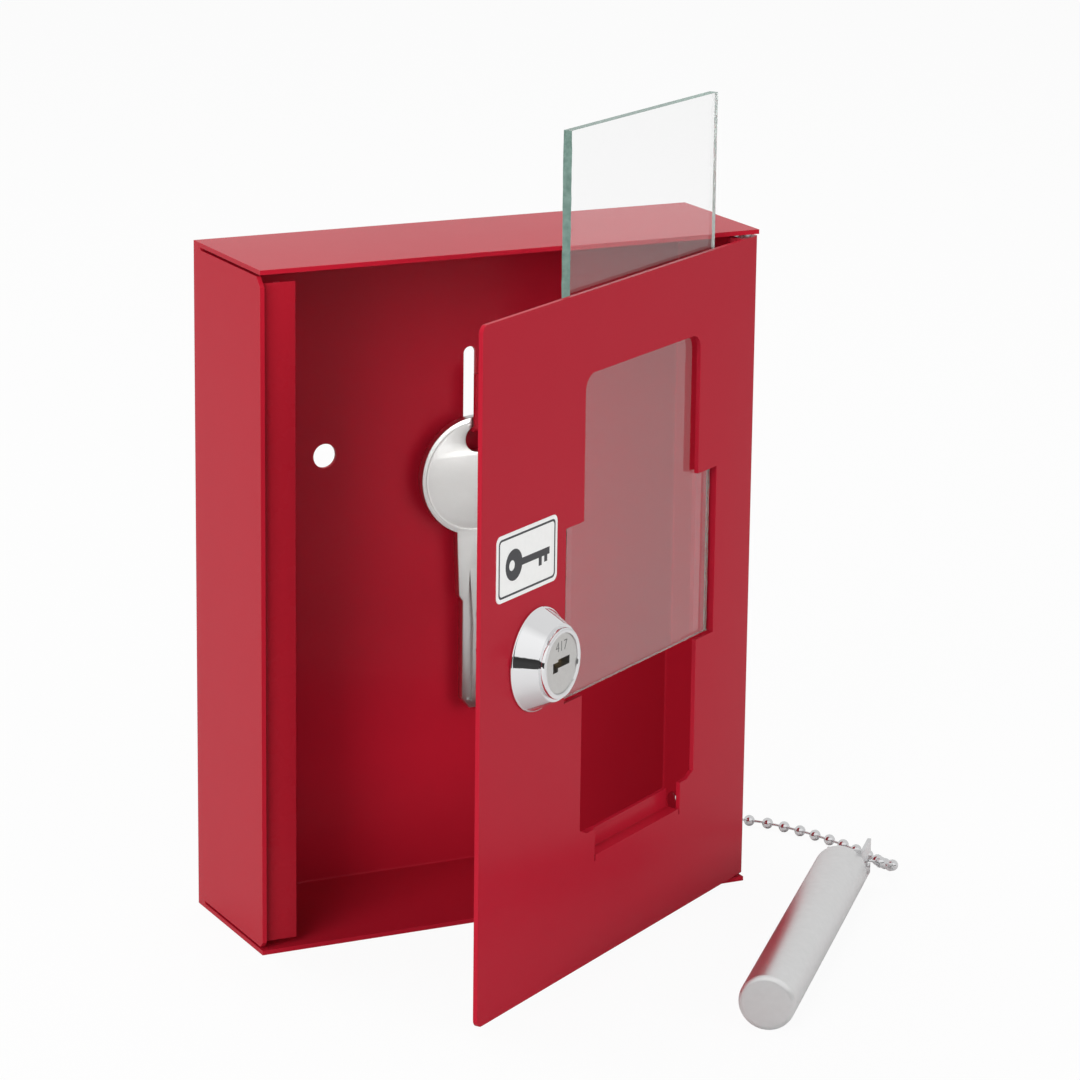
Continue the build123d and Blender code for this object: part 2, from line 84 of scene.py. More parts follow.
# ---- floor, sky and lamps ----
# A white table and a white surround, with soft light from the left, above and in front.
# Glossy surfaces also see a dark room toward the camera and a dark gap overhead.
floor_mesh = bpy.data.meshes.new("floor")
floor_mesh.from_pydata([(-1.6, -0.50, 0), (1.6, -0.50, 0), (1.6, 1.6, 0), (-1.6, 1.6, 0)], [],
                       [(0, 1, 2, 3)])
floor_mesh.transform(Matrix.Translation((0, 0, -0.0001)))
floor = bpy.data.objects.new("floor", floor_mesh)
bpy.context.scene.collection.objects.link(floor)
table_white, shader, add, link = material("table_white")
rays = add("ShaderNodeLightPath")
seen = add("ShaderNodeMath", [(rays.outputs["Is Camera Ray"], 0),
                              (rays.outputs["Is Transmission Ray"], 1)], operation="MAXIMUM")
whitening = add("ShaderNodeMath", [(seen.outputs[0], 0)], operation="MULTIPLY")
whitening.inputs[1].default_value = 0.94
glow = add("ShaderNodeEmission", Color=(1, 1, 1, 1), Strength=1.0)
shader.inputs["Base Color"].default_value = (0.6, 0.6, 0.6, 1)
shader.inputs["Roughness"].default_value = 0.9
mixed = add("ShaderNodeMixShader", [(whitening.outputs[0], 0), (shader.outputs[0], 1),
                                    (glow.outputs[0], 2)])
link(mixed.outputs[0], table_white.node_tree.nodes["Material Output"].inputs["Surface"])
floor_mesh.materials.append(table_white)

world = bpy.data.worlds.new("studio")
bpy.context.scene.world = world
world.use_nodes = True
sky = world.node_tree
room = sky.nodes["Background"]
rays = sky.nodes.new("ShaderNodeLightPath")
way = sky.nodes.new("ShaderNodeTexCoord")
parts = sky.nodes.new("ShaderNodeSeparateXYZ")
sky.links.new(way.outputs["Generated"], parts.inputs[0])
# brightness by height: dark under the horizon band, white above, a dark gap overhead
by_height = sky.nodes.new("ShaderNodeValToRGB")
sky.links.new(parts.outputs["Z"], by_height.inputs["Fac"])
stops = [(0.0, 0.05), (0.17, 0.03), (0.20, 0.9), (0.90, 1.0), (0.915, 0.02), (0.955, 0.02),
         (0.965, 1.0), (0.985, 0.5), (1.0, 0.4)]
by_height.color_ramp.elements.remove(by_height.color_ramp.elements[1])
for i, (height, level) in enumerate(stops):
    ramp = by_height.color_ramp.elements
    stop = ramp[0] if i == 0 else ramp.new(height)
    stop.position = height
    stop.color = (level, level, level, 1)
# away from the camera's side the surround is white right down to the table
toward = sky.nodes.new("ShaderNodeVectorMath")
toward.operation = "DOT_PRODUCT"
sky.links.new(way.outputs["Generated"], toward.inputs[0])
toward.inputs[1].default_value = (-0.39, -0.92, 0)
side_fade = sky.nodes.new("ShaderNodeMapRange")
sky.links.new(toward.outputs["Value"], side_fade.inputs["Value"])
side_fade.inputs["From Min"].default_value, side_fade.inputs["From Max"].default_value = 0.2, 0.5
seen_by_gloss = sky.nodes.new("ShaderNodeMix")
seen_by_gloss.data_type = "RGBA"
sky.links.new(side_fade.outputs["Result"], seen_by_gloss.inputs["Factor"])
seen_by_gloss.inputs["A"].default_value = (0.75, 0.75, 0.75, 1)
sky.links.new(by_height.outputs["Color"], seen_by_gloss.inputs["B"])
level_diffuse = sky.nodes.new("ShaderNodeMix")
level_diffuse.data_type = "RGBA"
sky.links.new(rays.outputs["Is Glossy Ray"], level_diffuse.inputs["Factor"])
level_diffuse.inputs["A"].default_value = (0.42, 0.42, 0.42, 1)
sky.links.new(seen_by_gloss.outputs["Result"], level_diffuse.inputs["B"])
white_backdrop = sky.nodes.new("ShaderNodeMix")
white_backdrop.data_type = "RGBA"
either = sky.nodes.new("ShaderNodeMath")
either.operation = "MAXIMUM"
sky.links.new(rays.outputs["Is Camera Ray"], either.inputs[0])
sky.links.new(rays.outputs["Is Transmission Ray"], either.inputs[1])
sky.links.new(either.outputs[0], white_backdrop.inputs["Factor"])
sky.links.new(level_diffuse.outputs["Result"], white_backdrop.inputs["A"])
white_backdrop.inputs["B"].default_value = (1, 1, 1, 1)
sky.links.new(white_backdrop.outputs["Result"], room.inputs["Color"])


def soft_lamp(name, place, aim, size, watts):
    lamp = bpy.data.lights.new(name, "AREA")
    lamp.size, lamp.energy = size, watts
    holder = bpy.data.objects.new(name, lamp)
    bpy.context.scene.collection.objects.link(holder)
    holder.location = place
    holder.rotation_euler = (Vector(aim) - Vector(place)).to_track_quat("-Z", "Y").to_euler()
    holder.visible_glossy = False


lamp_size, lamp_aim = 0.9, (0, 0, 0.07)
soft_lamp("key_lamp", (-1.2, -0.9, 0.62), lamp_aim, lamp_size, 20)
soft_lamp("fill_lamp", (0.6, -1.3, 0.5), lamp_aim, lamp_size, 10)
soft_lamp("top_lamp", (-0.1, 0.45, 1.35), lamp_aim, lamp_size, 12)

# ---- the striker's chain ----
# Plated steel balls on wire links: out of the eyelet in the right wall, down onto the
# table, behind the striker and back through the slot of its clip.
bead_r = 1.3 * mm
bead_pitch = 4.38 * mm
link_r = 0.28 * mm
chain_route = [Vector(p) * mm for p in (
    (57.2, 6, 12), (61.4, 6, 12), (65.6, 7.6, 10.6), (69.4, 10.4, 7.2), (73, 13.6, 3.6),
    (77, 15, 1.6), (80.6, 13, 1.3), (83.2, 9, 1.3), (85.6, 4.4, 1.3), (87.9, -1.2, 1.3),
    (89.8, -7.4, 1.3), (91.2, -13.6, 1.35), (91.9, -20, 1.4), (91.4, -25.8, 1.9),
    (90.2, -30.8, 2.9), (88.8, -34.8, 4.3), (86.8, -37.6, 5.8), (83.78, -36.64, 6.6),
    (80.74, -34.04, 6.6))]
chain_line = bpy.data.curves.new("chain_line", "CURVE")
chain_line.dimensions = "3D"
spline = chain_line.splines.new("NURBS")
spline.points.add(len(chain_route) - 1)
for point, place in zip(spline.points, chain_route):
    point.co = (*place, 1)
spline.order_u = 3
spline.use_endpoint_u = True
spline.resolution_u = 12
chain_guide = bpy.data.objects.new("chain_line", chain_line)
bpy.context.scene.collection.objects.link(chain_guide)
bpy.context.view_layer.update()
read = bpy.data.meshes.new_from_object(
    chain_guide.evaluated_get(bpy.context.evaluated_depsgraph_get()))


def tree_of(name, inputs):
    """An empty Geometry Nodes tree with named size inputs."""
    tree = bpy.data.node_groups.new(name, "GeometryNodeTree")
    tree.interface.new_socket("Geometry", in_out="INPUT", socket_type="NodeSocketGeometry")
    for title, value in inputs.items():
        kind = "NodeSocketInt" if isinstance(value, int) else "NodeSocketFloat"
        socket = tree.interface.new_socket(title, in_out="INPUT", socket_type=kind)
        socket.default_value = value
    tree.interface.new_socket("Geometry", in_out="OUTPUT", socket_type="NodeSocketGeometry")
    return tree


def run_tree(holder, tree, values):
    """Sets a tree's inputs on its holder, and gives back the plain mesh it makes."""
    modifier = holder.modifiers.new(tree.name, "NODES")
    modifier.node_group = tree
    for item in tree.interface.items_tree:
        if item.item_type == "SOCKET" and item.in_out == "INPUT" and item.name in values:
            modifier[item.identifier] = values[item.name]
    bpy.context.view_layer.update()
    mesh = bpy.data.meshes.new_from_object(
        holder.evaluated_get(bpy.context.evaluated_depsgraph_get()))
    holder.modifiers.clear()
    return mesh


def bright_plate(name, colour, roughness, patch=400.0, wear=0.08):
    """Plated or polished metal: cloudy roughness, fine pits and a faint tone change."""
    made, shader, add, link = material(name)
    spot = add("ShaderNodeTexCoord")
    cloud = add("ShaderNodeTexNoise", [(spot.outputs["Object"], "Vector")], Scale=patch, Detail=4.0)
    tone = add("ShaderNodeMix", data_type="RGBA")
    link(cloud.outputs["Fac"], tone.inputs["Factor"])
    tone.inputs["A"].default_value = (*colour, 1)
    tone.inputs["B"].default_value = (*[c * (1 - 2 * wear) for c in colour], 1)
    link(tone.outputs["Result"], shader.inputs["Base Color"])
    rough = add("ShaderNodeMapRange", [(cloud.outputs["Fac"], "Value")])
    rough.inputs["To Min"].default_value = max(0.02, roughness * 0.88)
    rough.inputs["To Max"].default_value = roughness * 1.12
    link(rough.outputs["Result"], shader.inputs["Roughness"])
    pits = add("ShaderNodeTexNoise", [(spot.outputs["Object"], "Vector")], Scale=patch * 8,
               Detail=2.0)
    bump = add("ShaderNodeBump", [(pits.outputs["Fac"], "Height")], Strength=0.05, Distance=0.00005)
    link(bump.outputs["Normal"], shader.inputs["Normal"])
    shader.inputs["Metallic"].default_value = 1.0
    return made


chain_chrome = bright_plate("chain_chrome", (0.82, 0.82, 0.83), 0.07)
chain_sizes = {"Pitch": bead_pitch, "Ball radius": bead_r, "Wire radius": link_r}
tree = tree_of("ball_chain", {**chain_sizes, "Turns": 16, "Rings": 11})
gn = tree.nodes
source, out = gn.new("NodeGroupInput"), gn.new("NodeGroupOutput")
spaced = gn.new("GeometryNodeResampleCurve")
spaced.mode = "LENGTH"
tree.links.new(source.outputs["Geometry"], spaced.inputs["Curve"])
tree.links.new(source.outputs["Pitch"], spaced.inputs["Length"])
ball = gn.new("GeometryNodeMeshUVSphere")
tree.links.new(source.outputs["Turns"], ball.inputs["Segments"])
tree.links.new(source.outputs["Rings"], ball.inputs["Rings"])
tree.links.new(source.outputs["Ball radius"], ball.inputs["Radius"])
smooth_ball = gn.new("GeometryNodeSetShadeSmooth")
tree.links.new(ball.outputs["Mesh"], smooth_ball.inputs["Geometry"])
along = gn.new("GeometryNodeInputTangent")
turned = gn.new("FunctionNodeAlignEulerToVector")
turned.axis = "Z"
tree.links.new(along.outputs["Tangent"], turned.inputs["Vector"])
balls = gn.new("GeometryNodeInstanceOnPoints")
tree.links.new(spaced.outputs["Curve"], balls.inputs["Points"])
tree.links.new(smooth_ball.outputs["Geometry"], balls.inputs["Instance"])
tree.links.new(turned.outputs["Rotation"], balls.inputs["Rotation"])
wire_section = gn.new("GeometryNodeCurvePrimitiveCircle")
wire_section.inputs["Resolution"].default_value = 10
tree.links.new(source.outputs["Wire radius"], wire_section.inputs["Radius"])
wire = gn.new("GeometryNodeCurveToMesh")
tree.links.new(source.outputs["Geometry"], wire.inputs["Curve"])
tree.links.new(wire_section.outputs["Curve"], wire.inputs["Profile Curve"])
wire.inputs["Fill Caps"].default_value = True
both = gn.new("GeometryNodeJoinGeometry")
tree.links.new(balls.outputs["Instances"], both.inputs["Geometry"])
tree.links.new(wire.outputs["Mesh"], both.inputs["Geometry"])
real = gn.new("GeometryNodeRealizeInstances")
tree.links.new(both.outputs["Geometry"], real.inputs["Geometry"])
plated = gn.new("GeometryNodeSetMaterial")
plated.inputs["Material"].default_value = chain_chrome
tree.links.new(real.outputs["Geometry"], plated.inputs["Geometry"])
tree.links.new(plated.outputs["Geometry"], out.inputs["Geometry"])
chain_mesh = run_tree(chain_guide, tree, chain_sizes)
chain_mesh.name = "striker_chain"
bpy.data.objects.remove(chain_guide)
striker_chain = bpy.data.objects.new("striker_chain", chain_mesh)
bpy.context.scene.collection.objects.link(striker_chain)
for face in chain_mesh.polygons:
    face.use_smooth = True
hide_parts("ball_chain")
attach(striker_chain, "striker_set")


def give_finish(finish, *names):
    """Gives CAD nodes that keep their own mesh a finish in place of their plain one."""
    for node in names:
        nodes[node].data.materials.clear()
        nodes[node].data.materials.append(finish)


# the stop behind the wall and the end coupling are plated as the balls are
give_finish(chain_chrome, "chain_end_stop", "chain_coupling")

# ---- case ----
# Folded sheet steel, red powder coat. Cut edges are broken before it is coated, so each
# one carries a thin line of light.


def powder_coat(name, colour, shade, gloss):
    """Semi-gloss powder coat: cloudy tone, orange peel and a thin smooth top film."""
    made, shader, add, link = material(name)
    spot = add("ShaderNodeTexCoord")
    cloud = add("ShaderNodeTexNoise", [(spot.outputs["Object"], "Vector")], Scale=160.0, Detail=3.0)
    tone = add("ShaderNodeMix", data_type="RGBA")
    link(cloud.outputs["Fac"], tone.inputs["Factor"])
    tone.inputs["A"].default_value = (*colour, 1)
    tone.inputs["B"].default_value = (*shade, 1)
    link(tone.outputs["Result"], shader.inputs["Base Color"])
    rough = add("ShaderNodeMapRange", [(cloud.outputs["Fac"], "Value")])
    rough.inputs["To Min"].default_value, rough.inputs["To Max"].default_value = gloss, gloss + 0.03
    link(rough.outputs["Result"], shader.inputs["Roughness"])
    peel = add("ShaderNodeTexNoise", [(spot.outputs["Object"], "Vector")], Scale=420.0, Detail=1.0)
    bump = add("ShaderNodeBump", [(peel.outputs["Fac"], "Height")], Strength=0.012, Distance=0.0002)
    link(bump.outputs["Normal"], shader.inputs["Normal"])
    shader.inputs["Specular IOR Level"].default_value = 0.07
    shader.inputs["Coat Weight"].default_value = 0.02
    shader.inputs["Coat Roughness"].default_value = 0.08
    return made


def eased_sheet(name, node, edge):
    """The node's sheet metal as one joined mesh, with its cut edges eased by `edge`."""
    shell = bmesh.new()
    shell.from_mesh(nodes[node].data)
    bmesh.ops.remove_doubles(shell, verts=shell.verts[:], dist=1e-6)
    bmesh.ops.dissolve_limit(shell, angle_limit=radians(0.6), verts=shell.verts[:],
                             edges=shell.edges[:])
    places = [v.co.copy() for v in shell.verts]
    shell.verts.index_update()
    faces = [[v.index for v in f.verts] for f in shell.faces]
    shell.free()
    mesh = bpy.data.meshes.new(name)
    mesh.from_pydata(places, [], faces)
    for face in mesh.polygons:
        face.use_smooth = True
    piece = bpy.data.objects.new(name, mesh)
    bpy.context.scene.collection.objects.link(piece)
    eased = piece.modifiers.new("eased", "BEVEL")
    eased.width, eased.segments = edge, 2
    eased.limit_method, eased.angle_limit = "ANGLE", radians(32)
    eased.harden_normals = True
    bpy.context.view_layer.update()
    piece.data = bpy.data.meshes.new_from_object(
        piece.evaluated_get(bpy.context.evaluated_depsgraph_get()))
    piece.modifiers.clear()
    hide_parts(node)
    return piece


case_red = powder_coat("case_red", (0.40, 0.010, 0.024), (0.39, 0.009, 0.023), 0.24)
case_body = eased_sheet("case_body", "case_shell", 0.22 * mm)
case_body.data.materials.append(case_red)
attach(case_body, "case")

# the strip's coat is the case's red, set darker here: painted shade of the strip's recess behind
# the wall's front edge
strip_red_painted_shade = powder_coat("strip_red_painted_shade", (0.34, 0.010, 0.021), (0.33, 0.009, 0.020), 0.26)
strip_body = eased_sheet("strip_body", "latch_strip", 0.18 * mm)
strip_body.data.materials.append(strip_red_painted_shade)
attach(strip_body, "case")

# ---- door ----
# The same coated sheet, with its window's guides, ledge and hinge ears folded from it.
door_red = powder_coat("door_red", (0.395, 0.010, 0.025), (0.385, 0.009, 0.024), 0.22)
door_body = eased_sheet("door_body", "door_panel", 0.22 * mm)
door_body.data.materials.append(door_red)
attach(door_body, "door")

# hinge pins: zinc-plated steel, pressed in the door's ears
zinc = bright_plate("zinc_plate", (0.62, 0.63, 0.64), 0.28, patch=900.0, wear=0.12)
give_finish(zinc, "hinge_pin_top", "hinge_pin_bottom")

# ---- pane ----
# A loose sheet of 2 mm glass, snapped to size: its long edges are uneven and green.
door_open = radians(33)
hinge_in = 3 * mm
hinge = Vector((56 * mm, -16 * mm, 0))
corner = hinge + hinge_in * Vector((cos(door_open) + sin(door_open),
                                    sin(door_open) - cos(door_open), 0))
door_frame = Matrix(((cos(door_open), -sin(door_open), 0, corner.x),
                     (sin(door_open), cos(door_open), 0, corner.y),
                     (0, 0, 1, 0), (0, 0, 0, 1)))    # local x to the hinge, y behind the face
pane_x0, pane_x1 = -80.4 * mm, -18.4 * mm
pane_front, pane_back = 1.1 * mm, 3.1 * mm
pane_low, pane_top = 62.6 * mm, 182.1 * mm
snap = random.Random(7)
pane = bmesh.new()
rows = 60
rings = []
for i in range(rows + 1):
    z = pane_low + (pane_top - pane_low) * i / rows
    inset = [abs(snap.gauss(0, 0.10 * mm)) for _ in range(4)]
    rings.append([pane.verts.new(door_frame @ Vector(p)) for p in (
        (pane_x0 + min(inset[0], 0.3 * mm), pane_front, z),
        (pane_x1 - min(inset[1], 0.2 * mm) * 0.4, pane_front, z),
        (pane_x1 - min(inset[2], 0.2 * mm) * 0.4, pane_back, z),
        (pane_x0 + min(inset[3], 0.3 * mm), pane_back, z))])
for low, high in zip(rings, rings[1:]):
    for j in range(4):
        face = pane.faces.new((low[j], low[(j + 1) % 4], high[(j + 1) % 4], high[j]))
        face.material_index = j % 2
pane.faces.new(rings[0][::-1]).material_index = 1
pane.faces.new(rings[-1]).material_index = 1
bmesh.ops.recalc_face_normals(pane, faces=pane.faces[:])
pane_mesh = bpy.data.meshes.new("pane")
pane.to_mesh(pane_mesh)
pane.free()
pane_sheet = bpy.data.objects.new("pane", pane_mesh)
bpy.context.scene.collection.objects.link(pane_sheet)
clear_glass, shader, add, link = material("clear_glass")
spot = add("ShaderNodeTexCoord")
haze = add("ShaderNodeTexNoise", [(spot.outputs["Object"], "Vector")], Scale=60.0, Detail=3.0)
smear = add("ShaderNodeMapRange", [(haze.outputs["Fac"], "Value")])
smear.inputs["To Min"].default_value, smear.inputs["To Max"].default_value = 0.0, 0.02
link(smear.outputs["Result"], shader.inputs["Roughness"])
shader.inputs["Base Color"].default_value = (1.0, 1.0, 1.0, 1)
shader.inputs["Transmission Weight"].default_value = 1.0
shader.inputs["IOR"].default_value = 1.5
cut_glass, shader, add, link = material("cut_glass_edge")
spot = add("ShaderNodeTexCoord")
chips = add("ShaderNodeTexNoise", [(spot.outputs["Object"], "Vector")], Scale=700.0, Detail=5.0)
green = add("ShaderNodeMix", data_type="RGBA")
link(chips.outputs["Fac"], green.inputs["Factor"])
green.inputs["A"].default_value = (0.10, 0.22, 0.17, 1)
green.inputs["B"].default_value = (0.45, 0.68, 0.60, 1)
link(green.outputs["Result"], shader.inputs["Base Color"])
bump = add("ShaderNodeBump", [(chips.outputs["Fac"], "Height")], Strength=0.5, Distance=0.0003)
link(bump.outputs["Normal"], shader.inputs["Normal"])
shader.inputs["Roughness"].default_value = 0.22
shader.inputs["Transmission Weight"].default_value = 0.55
shader.inputs["IOR"].default_value = 1.5
pane_mesh.materials.append(clear_glass)
pane_mesh.materials.append(cut_glass)
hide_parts("glass_pane")
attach(pane_sheet, "pane")

# ---- lock ----
# A cam lock: a chromed cone and barrel through the door, held by a nut behind it.


def lathe(name, profile, place, steps=128):
    """A turned piece: (radius, distance) pairs along the axis of `place`, closed in a ring."""
    made = bmesh.new()
    rings = []
    for i in range(steps):
        turn = 2 * pi * i / steps
        rings.append([made.verts.new(place @ Vector((r * cos(turn), r * sin(turn), d)))
                      for r, d in profile])
    count = len(profile)
    for i in range(steps):
        a, b = rings[i], rings[(i + 1) % steps]
        for j in range(count):
            k = (j + 1) % count
            if profile[j][0] < 1e-7 and profile[k][0] < 1e-7:
                continue
            made.faces.new((a[j], b[j], b[k], a[k]))
    bmesh.ops.remove_doubles(made, verts=made.verts[:], dist=1e-7)
    bmesh.ops.recalc_face_normals(made, faces=made.faces[:])
    mesh = bpy.data.meshes.new(name)
    made.to_mesh(mesh)
    made.free()
    for face in mesh.polygons:
        face.use_smooth = True
    mesh.set_sharp_from_angle(angle=radians(28))
    piece = bpy.data.objects.new(name, mesh)
    bpy.context.scene.collection.objects.link(piece)
    return piece


lock_u, lock_z = 93.7 * mm, 74.8 * mm
# the lock's axis: local x to the hinge, y up, z out to the front
lock_place = door_frame @ Matrix.Translation((-lock_u, 0, lock_z)) @ Matrix.Rotation(pi / 2, 4, "X")
mirror_chrome = bright_plate("mirror_chrome", (0.90, 0.90, 0.91), 0.035, patch=250.0, wear=0.02)
cone = lathe("lock_cone", [(7.06 * mm, 0.02 * mm), (10.9 * mm, 0.02 * mm), (11.0 * mm, 0.12 * mm),
                           (11.0 * mm, 0.42 * mm), (10.9 * mm, 0.56 * mm), (10.72 * mm, 0.62 * mm),
                           (10.62 * mm, 0.72 * mm), (8.18 * mm, 5.12 * mm), (8.1 * mm, 5.19 * mm),
                           (7.06 * mm, 5.2 * mm)], lock_place)
cone.data.materials.append(mirror_chrome)
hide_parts("lock_rosette")
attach(cone, "door")
thread_pitch = 0.75 * mm
thread = []
for i in range(9):
    start = -1.0 * mm - thread_pitch * i
    thread += [(6.98 * mm, start), (6.66 * mm, start - thread_pitch * 0.45),
               (6.66 * mm, start - thread_pitch * 0.55)]
barrel = lathe("lock_barrel", [(6.36 * mm, 6.0 * mm), (6.42 * mm, 6.14 * mm), (6.6 * mm, 6.2 * mm),
                               (7.15 * mm, 6.2 * mm), (7.4 * mm, 6.1 * mm), (7.5 * mm, 5.85 * mm),
                               (7.5 * mm, 5.2 * mm), (6.98 * mm, 5.19 * mm)] + thread +
               [(6.98 * mm, -7.85 * mm), (6.8 * mm, -8.0 * mm), (5.32 * mm, -8.0 * mm),
                (5.32 * mm, 4.4 * mm), (6.36 * mm, 4.4 * mm)], lock_place)
barrel.data.materials.append(mirror_chrome)
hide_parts("lock_housing")
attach(barrel, "door")
satin_nickel = bright_plate("satin_nickel", (0.72, 0.71, 0.69), 0.34, patch=1500.0, wear=0.05)
give_finish(satin_nickel, "lock_plug")
brass = bright_plate("wafer_brass", (0.72, 0.52, 0.22), 0.3)
give_finish(brass, "lock_wafers")
spring_steel = bright_plate("spring_steel", (0.5, 0.5, 0.52), 0.3)
give_finish(spring_steel, "wafer_springs")
give_finish(zinc, "lock_washer", "lock_nut", "cam_lever", "cam_washer", "cam_screw")


def flat_words(name, words, height, place, thick):
    """Stamped figures: a text made a flat mesh, then put in place."""
    letters = bpy.data.curves.new(name, "FONT")
    letters.body, letters.size = words, height * 1.38
    letters.align_x, letters.align_y = "CENTER", "CENTER"
    letters.extrude = thick / 2
    letters.offset = -height * 0.022
    holder = bpy.data.objects.new(name + "_text", letters)
    bpy.context.scene.collection.objects.link(holder)
    bpy.context.view_layer.update()
    mesh = bpy.data.meshes.new_from_object(
        holder.evaluated_get(bpy.context.evaluated_depsgraph_get()))
    bpy.data.objects.remove(holder)
    mesh.transform(place)
    mesh.name = name
    piece = bpy.data.objects.new(name, mesh)
    bpy.context.scene.collection.objects.link(piece)
    return piece


plug_face = 5.85 * mm
# the figures are flat; their dark grey is painted shade of stamped hollows
stamped_painted_shade = bright_plate("stamped_painted_shade", (0.22, 0.22, 0.22), 0.5, patch=2500.0)
number_place = lock_place @ Matrix.Translation((0, 3.6 * mm, plug_face + 0.005 * mm))
number = flat_words("plug_number", "417", 2.3 * mm, number_place, 0.03 * mm)
number.data.materials.clear()
number.data.materials.append(stamped_painted_shade)
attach(number, "lock_core")

# ---- label ----
# A printed film label on the door: a plain key pictogram in a thin frame.
label_face = 0.12 * mm
label_u, label_z = 98.2 * mm, 97.0 * mm
label_place = (door_frame @ Matrix.Translation((-label_u, 0, label_z))
               @ Matrix.Rotation(pi / 2, 4, "X"))


def rounded(width, height, radius, steps=8):
    """Corner-rounded rectangle's outline about the origin."""
    points = []
    for cx, cy, start in ((1, 1, 0), (-1, 1, 90), (-1, -1, 180), (1, -1, 270)):
        for i in range(steps + 1):
            turn = radians(start + 90 * i / steps)
            points.append((cx * (width / 2 - radius) + radius * cos(turn),
                           cy * (height / 2 - radius) + radius * sin(turn)))
    return points


def plate(name, outline, holes, low, high, place, edge=0.0):
    """A flat plate between two heights: an outline with holes, its edges eased."""
    shape = bpy.data.curves.new(name, "CURVE")
    shape.dimensions, shape.fill_mode = "2D", "BOTH"
    for ring in [outline] + holes:
        loop = shape.splines.new("POLY")
        loop.points.add(len(ring) - 1)
        for point, (x, y) in zip(loop.points, ring):
            point.co = (x, y, 0, 1)
        loop.use_cyclic_u = True
    shape.extrude = (high - low) / 2 - edge
    shape.bevel_depth = edge
    shape.bevel_resolution = 2
    shape.offset = -edge
    holder = bpy.data.objects.new(name + "_outline", shape)
    bpy.context.scene.collection.objects.link(holder)
    bpy.context.view_layer.update()
    mesh = bpy.data.meshes.new_from_object(
        holder.evaluated_get(bpy.context.evaluated_depsgraph_get()))
    bpy.data.objects.remove(holder)
    joined = bmesh.new()
    joined.from_mesh(mesh)
    bmesh.ops.remove_doubles(joined, verts=joined.verts[:], dist=2e-6)
    bmesh.ops.recalc_face_normals(joined, faces=joined.faces[:])
    joined.to_mesh(mesh)
    joined.free()
    mesh.transform(place @ Matrix.Translation((0, 0, (low + high) / 2)))
    for face in mesh.polygons:
        face.use_smooth = True
    mesh.set_sharp_from_angle(angle=radians(25))
    mesh.name = name
    piece = bpy.data.objects.new(name, mesh)
    bpy.context.scene.collection.objects.link(piece)
    return piece


def circle(centre_x, centre_y, radius, steps):
    """A circle's points, counted from its right side."""
    return [(centre_x + radius * cos(2 * pi * i / steps),
             centre_y + radius * sin(2 * pi * i / steps)) for i in range(steps)]


def film(name, colour, roughness):
    """Printed vinyl film, with a faint dusty tone and a low sheen."""
    made, shader, add, link = material(name)
    spot = add("ShaderNodeTexCoord")
    dust = add("ShaderNodeTexNoise", [(spot.outputs["Object"], "Vector")], Scale=900.0, Detail=4.0)
    tone = add("ShaderNodeMix", data_type="RGBA")
    link(dust.outputs["Fac"], tone.inputs["Factor"])
    tone.inputs["A"].default_value = (*colour, 1)
    tone.inputs["B"].default_value = (*[c * 0.93 for c in colour], 1)
    link(tone.outputs["Result"], shader.inputs["Base Color"])
    shader.inputs["Roughness"].default_value = roughness
    return made


label_white = film("label_white", (0.84, 0.84, 0.83), 0.4)
label_ink = film("label_ink", (0.035, 0.035, 0.04), 0.45)
label_w, label_h = 24.0 * mm, 14.0 * mm
label = plate("label_film", rounded(label_w, label_h, 1.5 * mm), [], 0.0, label_face, label_place)
label.data.materials.append(label_white)
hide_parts("door_label")
border = plate("label_border", rounded(label_w - 1.6 * mm, label_h - 1.6 * mm, 1.1 * mm),
               [rounded(label_w - 2.5 * mm, label_h - 2.5 * mm, 0.8 * mm)],
               label_face - 0.01 * mm, label_face + 0.02 * mm, label_place)
border.data.materials.append(label_ink)
bow_mark = plate("label_key_bow", circle(-5.2 * mm, 0, 3.3 * mm, 32),
                 [circle(-6.0 * mm, 0, 1.1 * mm, 20)], label_face - 0.01 * mm,
                 label_face + 0.02 * mm, label_place)
bow_mark.data.materials.append(label_ink)
bit = [(-2.4, -0.75), (4.6, -0.75), (4.6, -2.5), (5.8, -2.5), (5.8, -0.75), (6.8, -0.75),
       (6.8, -2.1), (8.0, -2.1), (8.0, -0.75), (8.9, -0.75), (8.9, 0.75), (-2.4, 0.75)]
bit_mark = plate("label_key_blade", [(x * mm, y * mm) for x, y in bit], [],
                 label_face - 0.01 * mm, label_face + 0.021 * mm, label_place)
bit_mark.data.materials.append(label_ink)
for piece in (label, border, bow_mark, bit_mark):
    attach(piece, "door")

# ---- emergency key ----
# A nickel-plated steel key, hung on a hook pressed from the case's back: a round bow with a
# thin raised rim, a short neck, and a blade with a long groove and drilled dimples.
key_x, key_front, key_back = 6.9 * mm, 13.4 * mm, 15.6 * mm
bow_r, bow_z = 13.6 * mm, 92.4 * mm
hole_r, hole_z = 3.0 * mm, 100.92 * mm
neck_top, neck_low = 4.9 * mm, 4.35 * mm      # half widths
neck_z, shoulder_z = 79.6 * mm, 64.2 * mm
blade_half, tip_z = 3.45 * mm, 38.5 * mm
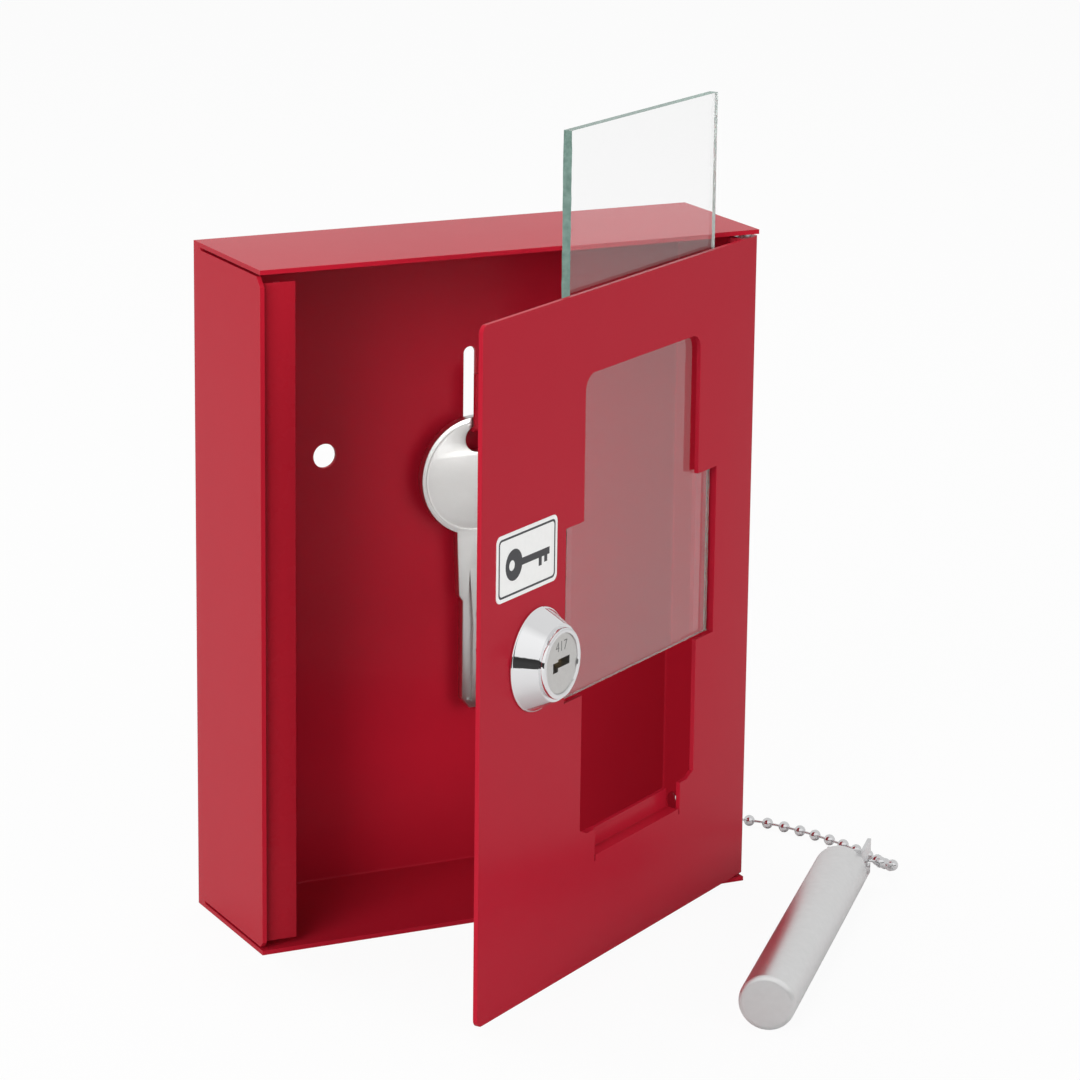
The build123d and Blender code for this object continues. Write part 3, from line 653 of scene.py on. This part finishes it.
# the key's plane: local x right, y up, z out to the front
key_place = Matrix.Translation((key_x, key_front, 0)) @ Matrix.Rotation(pi / 2, 4, "X")
start = atan2(neck_z - bow_z, neck_top)
outline = []
for i in range(65):
    turn = start + (pi - 2 * start) * i / 64
    outline.append((bow_r * cos(turn), bow_z + bow_r * sin(turn)))
outline += [(-neck_top, neck_z - 1.0 * mm), (-neck_low, shoulder_z + 0.9 * mm),
            (-neck_low + 0.5 * mm, shoulder_z), (-blade_half, shoulder_z - 0.4 * mm),
            (-blade_half, tip_z + 2.4 * mm), (-1.5 * mm, tip_z), (1.5 * mm, tip_z),
            (blade_half, tip_z + 2.4 * mm), (blade_half, shoulder_z - 0.4 * mm),
            (neck_low - 0.5 * mm, shoulder_z), (neck_low, shoulder_z + 0.9 * mm),
            (neck_top, neck_z - 1.0 * mm)]
key = plate("key_blank", outline, [circle(0, hole_z, hole_r, 32)], -(key_back - key_front), 0.0,
            key_place, edge=0.16 * mm)
key_nickel = bright_plate("key_nickel", (0.67, 0.67, 0.655), 0.30, patch=300.0, wear=0.02)
key.data.materials.append(key_nickel)


def cut_out(piece, cutters):
    """Takes the cutters' shapes out of a piece and drops them."""
    for cutter in cutters:
        cut = piece.modifiers.new("cut", "BOOLEAN")
        cut.object, cut.operation, cut.solver = cutter, "DIFFERENCE", "EXACT"
    bpy.context.view_layer.update()
    mesh = bpy.data.meshes.new_from_object(
        piece.evaluated_get(bpy.context.evaluated_depsgraph_get()))
    piece.modifiers.clear()
    piece.data = mesh
    for cutter in cutters:
        bpy.data.objects.remove(cutter)
    for face in mesh.polygons:
        face.use_smooth = True
    mesh.set_sharp_from_angle(angle=radians(25))


groove = [(-2.25, 40.5), (-0.95, 40.2), (-0.75, 58.0), (-1.7, 71.0), (-2.45, 58.0)]
grooves = [plate("cut_groove", [(x * mm, z * mm) for x, z in groove], [], -0.9 * mm, 0.3 * mm,
                 key_place)]
dimple = [(0, -0.85 * mm), (0.55 * mm, -0.75 * mm), (1.25 * mm, 0.1 * mm), (1.25 * mm, 0.4 * mm),
          (0, 0.4 * mm)]
for i, z in enumerate((43.0, 47.2, 51.4, 55.6, 59.8)):
    turned = Matrix.Translation(((1.35 + 0.35 * (i % 2)) * mm, z * mm, 0)) @ Matrix.Rotation(
        radians(-35), 4, "Z")
    grooves.append(lathe("cut_dimple", dimple, key_place @ turned @ Matrix.Scale(1.5, 4, (1, 0, 0)),
                         20))
cut_out(key, grooves)
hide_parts("emergency_key")
rim_line = plate("key_rim", circle(0, bow_z, bow_r - 1.0 * mm, 96),
                 [circle(0, bow_z, bow_r - 1.4 * mm, 96)], -0.05 * mm, 0.14 * mm, key_place)
rim_line.data.materials.append(key_nickel)
for piece in (key, rim_line):
    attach(piece, "key")

# ---- striker ----
# A turned aluminium bar with broken ends. It lies on the table, its clip riveted to the far end.
rod_r, rod_length = 6.0 * mm, 86.25 * mm
rod_near, rod_far = Vector((18.0, -102.3, 6.0)) * mm, Vector((74.0, -36.7, 6.0)) * mm
rod_way = (rod_far - rod_near).normalized()
rod_place = Matrix.Translation(rod_near) @ rod_way.to_track_quat("Z", "Y").to_matrix().to_4x4()
bar = lathe("striker_bar", [(0, 0), (4.9 * mm, 0), (5.15 * mm, 0.06 * mm), (5.75 * mm, 0.5 * mm),
                            (5.95 * mm, 0.75 * mm), (rod_r, 1.1 * mm),
                            (rod_r, rod_length - 0.8 * mm), (5.2 * mm, rod_length),
                            (1.6 * mm, rod_length), (1.6 * mm, rod_length - 6 * mm),
                            (0, rod_length - 6 * mm)], rod_place, 96)
satin_aluminium = bright_plate("satin_aluminium", (0.86, 0.86, 0.86), 0.40, patch=700.0, wear=0.04)
bar.data.materials.append(satin_aluminium)
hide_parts("striker")
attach(bar, "striker_set")
clip_plate = bright_plate("clip_plate", (0.80, 0.80, 0.81), 0.10, patch=500.0)
give_finish(clip_plate, "striker_clip", "striker_rivet", "chain_eyelet")
